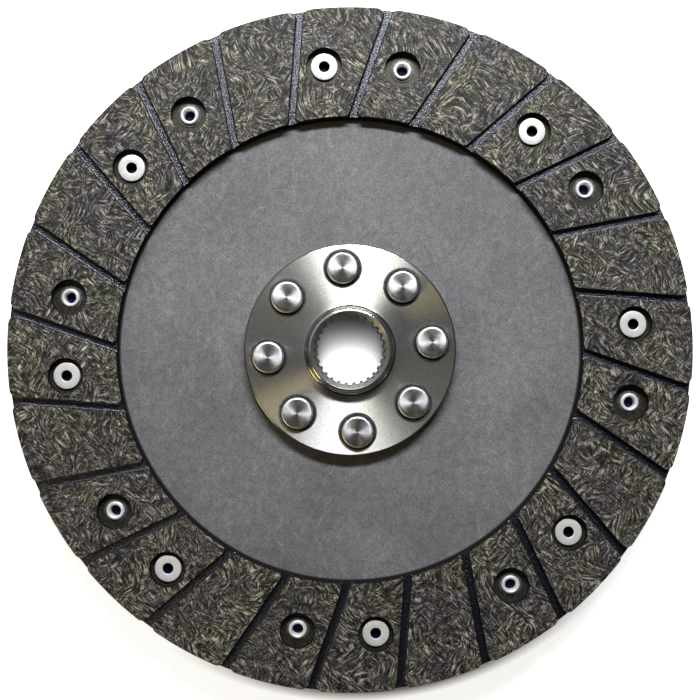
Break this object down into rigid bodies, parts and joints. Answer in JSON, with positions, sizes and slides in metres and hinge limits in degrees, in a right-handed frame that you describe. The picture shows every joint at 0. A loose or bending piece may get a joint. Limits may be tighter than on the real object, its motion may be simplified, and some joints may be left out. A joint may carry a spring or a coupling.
{
  "type": "rigid clutch disc",
  "caption": "Rigid clutch disc: grooved organic facings riveted to a flat carrier plate, with a splined hub flange riveted in its middle.",
  "frame": {"origin": "on the disc's axis, in the middle of the carrier plate's thickness", "axes": "+Z along the axis towards the gearbox, on the side of the hub flange; -Z towards the flywheel"},
  "size_m": [0.228, 0.228, 0.0212],
  "materials": {
    "hub_steel": "face-turned, bright",
    "plate_steel": "matte, blue-grey",
    "friction_lining": "ground fibre composite with dark resin in the grooves",
    "rivet_steel": "bright plated"
  },
  "bodies": {
    "root": {"hub": "hub_steel", "carrier_plate": "plate_steel", "facing_gear_side": "friction_lining", "facing_flywheel_side": "friction_lining", "facing_rivets_gear_side": "rivet_steel", "facing_rivets_flywheel_side": "rivet_steel", "hub_rivets": "rivet_steel"}
  },
  "joints": []
}
